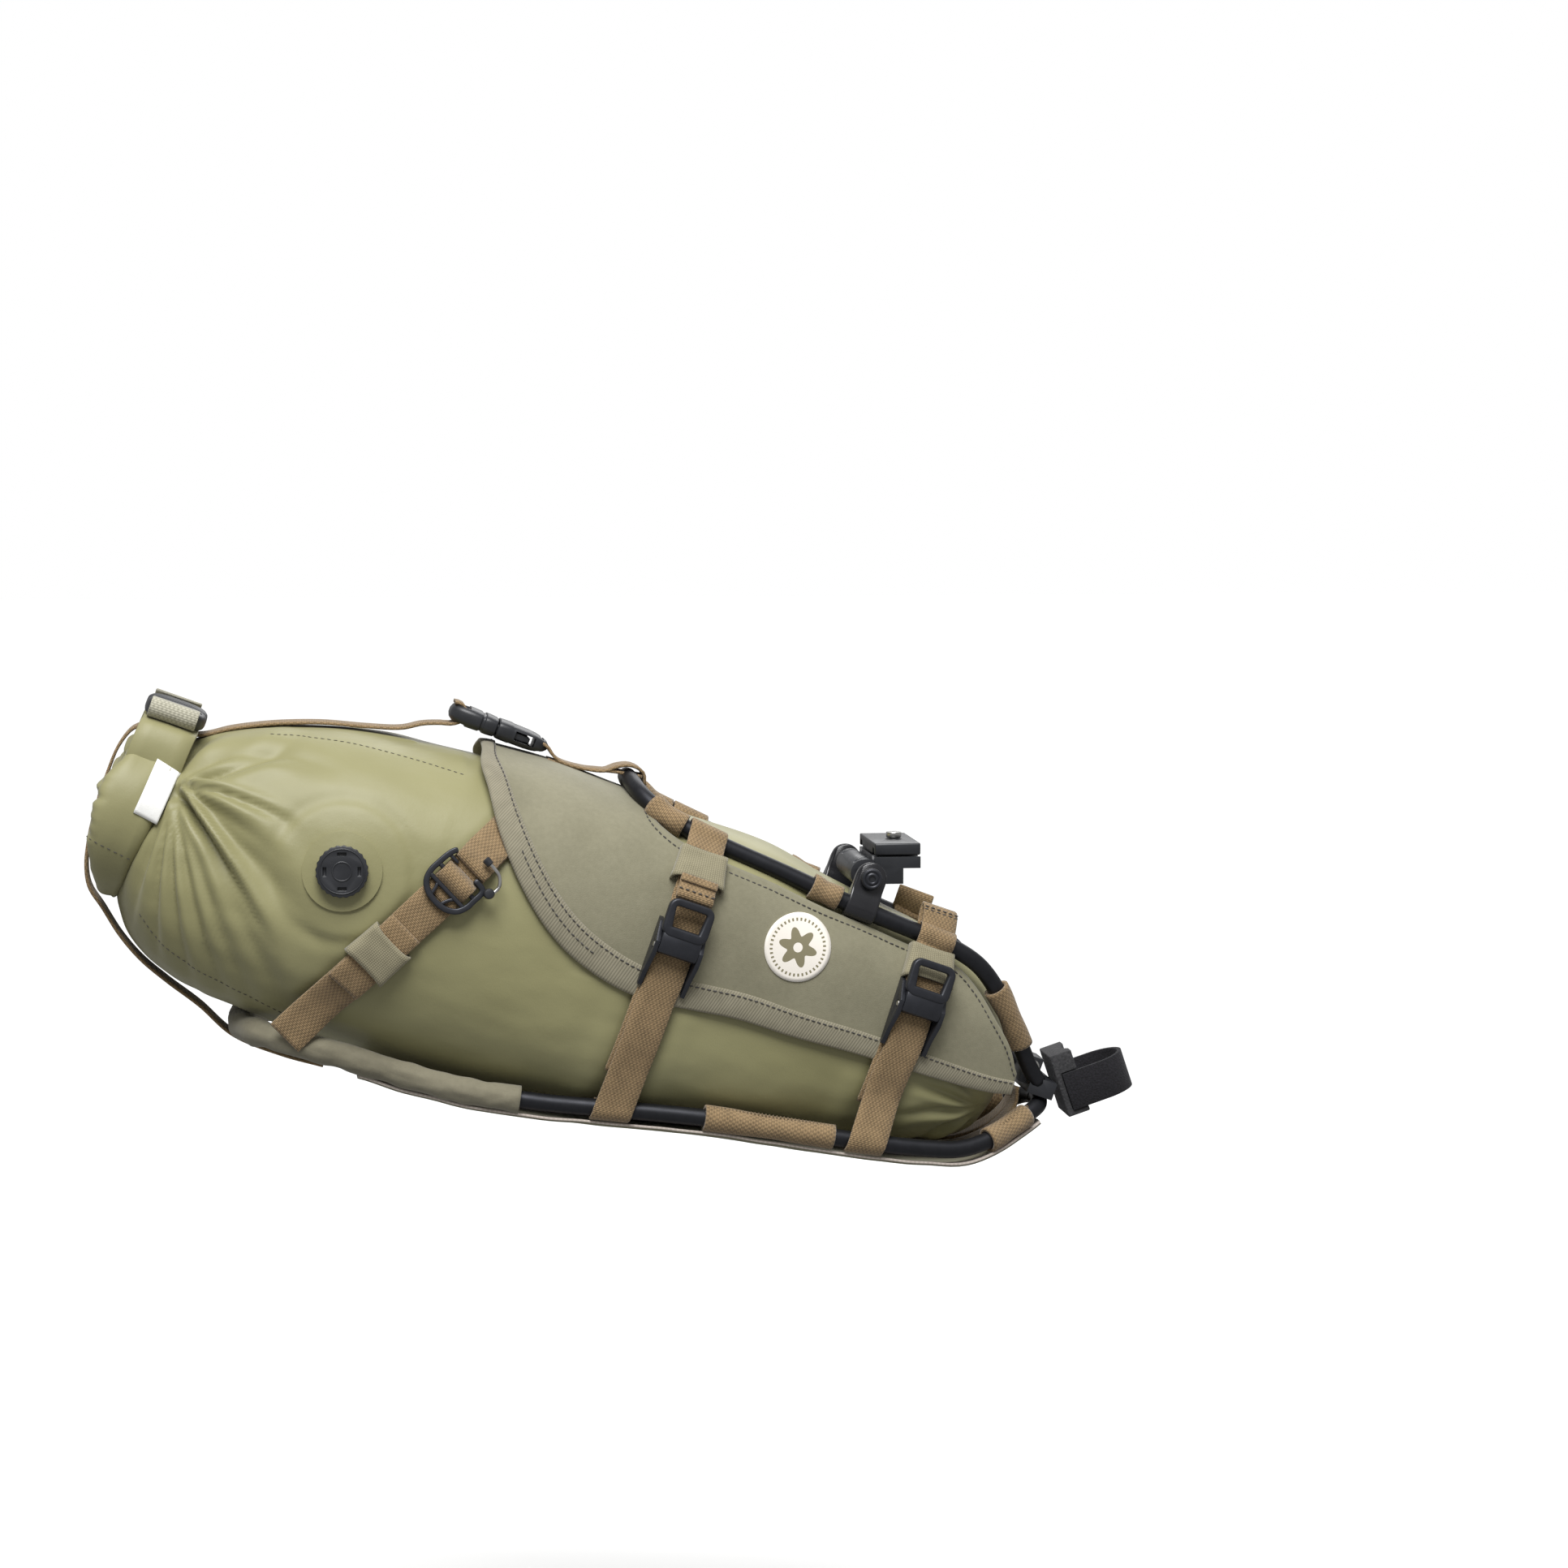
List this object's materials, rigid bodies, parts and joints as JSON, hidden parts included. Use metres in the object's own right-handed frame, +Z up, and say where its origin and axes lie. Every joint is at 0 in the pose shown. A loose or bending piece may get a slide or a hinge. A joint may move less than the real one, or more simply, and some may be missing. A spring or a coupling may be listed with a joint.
{
  "type": "bicycle saddle bag",
  "caption": "Saddle bag: a roll-top drybag strapped into a tubular harness that clamps to the saddle rails and straps to the seatpost.",
  "frame": {"origin": "on the seatpost's axis, at mid-height of the hook-and-loop strap", "axes": "+X towards the front of the bicycle, +Y to its left, +Z up; the bag reaches back along -X with its rear end raised 20 degrees"},
  "size_m": [0.5462, 0.1824, 0.2465],
  "materials": {
    "anodised_tube": "satin",
    "black_plastic": "satin",
    "webbing": "matte",
    "waxed_cloth": "matte",
    "coated_cloth": "satin",
    "elastic": "matte",
    "foam": "matte",
    "hook_and_loop": "matte",
    "steel": "polished"
  },
  "bodies": {
    "root": {"lower_loop_tube": "anodised_tube", "upper_hoop_tube": "anodised_tube", "rear_sleeve": "waxed_cloth", "lace_upper_rear_left": "webbing", "lace_upper_middle_left": "webbing", "lace_upper_front_left": "webbing", "lace_lower_rear_left": "webbing", "lace_lower_front_left": "webbing", "lace_upper_rear_right": "webbing", "lace_upper_middle_right": "webbing", "lace_upper_front_right": "webbing", "lace_lower_rear_right": "webbing", "lace_lower_front_right": "webbing", "front_bracket": "black_plastic", "bracket_screw": "steel", "rail_band_left": "black_plastic", "rail_band_right": "black_plastic", "rail_axle": "anodised_tube", "drybag_body": "coated_cloth", "drybag_roll": "coated_cloth", "closure_buckle_female": "black_plastic", "valve_flange": "coated_cloth", "harness_panel": "waxed_cloth", "bottom_panel": "waxed_cloth", "cam_buckle_rear_left_frame": "black_plastic", "keeper_rear_left": "elastic", "side_strap_rear_left": "webbing", "cam_buckle_front_left_frame": "black_plastic", "keeper_front_left": "elastic", "side_strap_front_left": "webbing", "cam_buckle_rear_right_frame": "black_plastic", "keeper_rear_right": "elastic", "side_strap_rear_right": "webbing", "cam_buckle_front_right_frame": "black_plastic", "keeper_front_right": "elastic", "side_strap_front_right": "webbing", "keeper_diagonal_left": "elastic", "hook_buckle_left": "black_plastic", "diagonal_strap_left": "webbing", "keeper_diagonal_right": "elastic", "hook_buckle_right": "black_plastic", "diagonal_strap_right": "webbing", "top_buckle_female": "black_plastic", "rear_strap": "webbing", "front_web": "webbing", "seatpost_block": "foam", "seatpost_strap": "hook_and_loop"},
    "rail_clamp": {"rail_jaw_lower": "black_plastic"},
    "rail_top_jaw": {"rail_jaw_upper": "black_plastic", "rail_jaw_screw": "steel"},
    "cam_buckle_rear_left_lever": {"cam_buckle_rear_left_lever": "black_plastic"},
    "cam_buckle_front_left_lever": {"cam_buckle_front_left_lever": "black_plastic"},
    "wire_gate_left": {"wire_gate_left": "steel"},
    "cam_buckle_rear_right_lever": {"cam_buckle_rear_right_lever": "black_plastic"},
    "cam_buckle_front_right_lever": {"cam_buckle_front_right_lever": "black_plastic"},
    "wire_gate_right": {"wire_gate_right": "steel"},
    "top_buckle_male": {"top_buckle_male": "black_plastic"},
    "closure_buckle_male": {"closure_buckle_male": "black_plastic"},
    "valve_cap": {"valve_cap": "black_plastic"}
  },
  "joints": [
    {"name": "rail_clamp_tilt", "type": "hinge", "parent": "root", "child": "rail_clamp", "pos_m": [-0.12838, 0, 0.11217], "axis": [0, 1, 0], "range_deg": [-18, 18]},
    {"name": "rail_jaw_open", "type": "slide", "parent": "rail_clamp", "child": "rail_top_jaw", "axis": [0, 0, 1], "range_m": [0, 0.004]},
    {"name": "cam_buckle_rear_left_open", "type": "hinge", "parent": "root", "child": "cam_buckle_rear_left_lever", "pos_m": [-0.23132, 0.08212, 0.08039], "axis": [-0.9333, 0.1162, 0.3397], "range_deg": [0, 70]},
    {"name": "cam_buckle_front_left_open", "type": "hinge", "parent": "root", "child": "cam_buckle_front_left_lever", "pos_m": [-0.10506, 0.06295, 0.04559], "axis": [-0.9257, 0.1722, 0.3369], "range_deg": [0, 70]},
    {"name": "wire_gate_left_press", "type": "hinge", "parent": "root", "child": "wire_gate_left", "pos_m": [-0.32567, 0.08884, 0.11131], "axis": [-0.0775, -0.9876, -0.1368], "range_deg": [0, 28], "stiffness_Nm_per_rad": 0.02, "springref_deg": -11.46},
    {"name": "cam_buckle_rear_right_open", "type": "hinge", "parent": "root", "child": "cam_buckle_rear_right_lever", "pos_m": [-0.23132, -0.08212, 0.08039], "axis": [0.9333, 0.1162, -0.3397], "range_deg": [0, 70]},
    {"name": "cam_buckle_front_right_open", "type": "hinge", "parent": "root", "child": "cam_buckle_front_right_lever", "pos_m": [-0.10506, -0.06295, 0.04559], "axis": [0.9257, 0.1722, -0.3369], "range_deg": [0, 70]},
    {"name": "wire_gate_right_press", "type": "hinge", "parent": "root", "child": "wire_gate_right", "pos_m": [-0.32567, -0.08884, 0.11131], "axis": [0.0775, -0.9876, 0.1368], "range_deg": [0, 28], "stiffness_Nm_per_rad": 0.02, "springref_deg": -11.46},
    {"name": "top_buckle_release", "type": "slide", "parent": "root", "child": "top_buckle_male", "axis": [-0.929, 0, 0.3701], "range_m": [0, 0.022]},
    {"name": "closure_buckle_release", "type": "slide", "parent": "root", "child": "closure_buckle_male", "axis": [0, -1, 0], "range_m": [0, 0.026]},
    {"name": "valve_cap_twist", "type": "hinge", "parent": "root", "child": "valve_cap", "pos_m": [-0.39809, -0.07996, 0.12255], "axis": [-0.0343, -0.9951, 0.0929], "range_deg": [0, 90]}
  ]
}
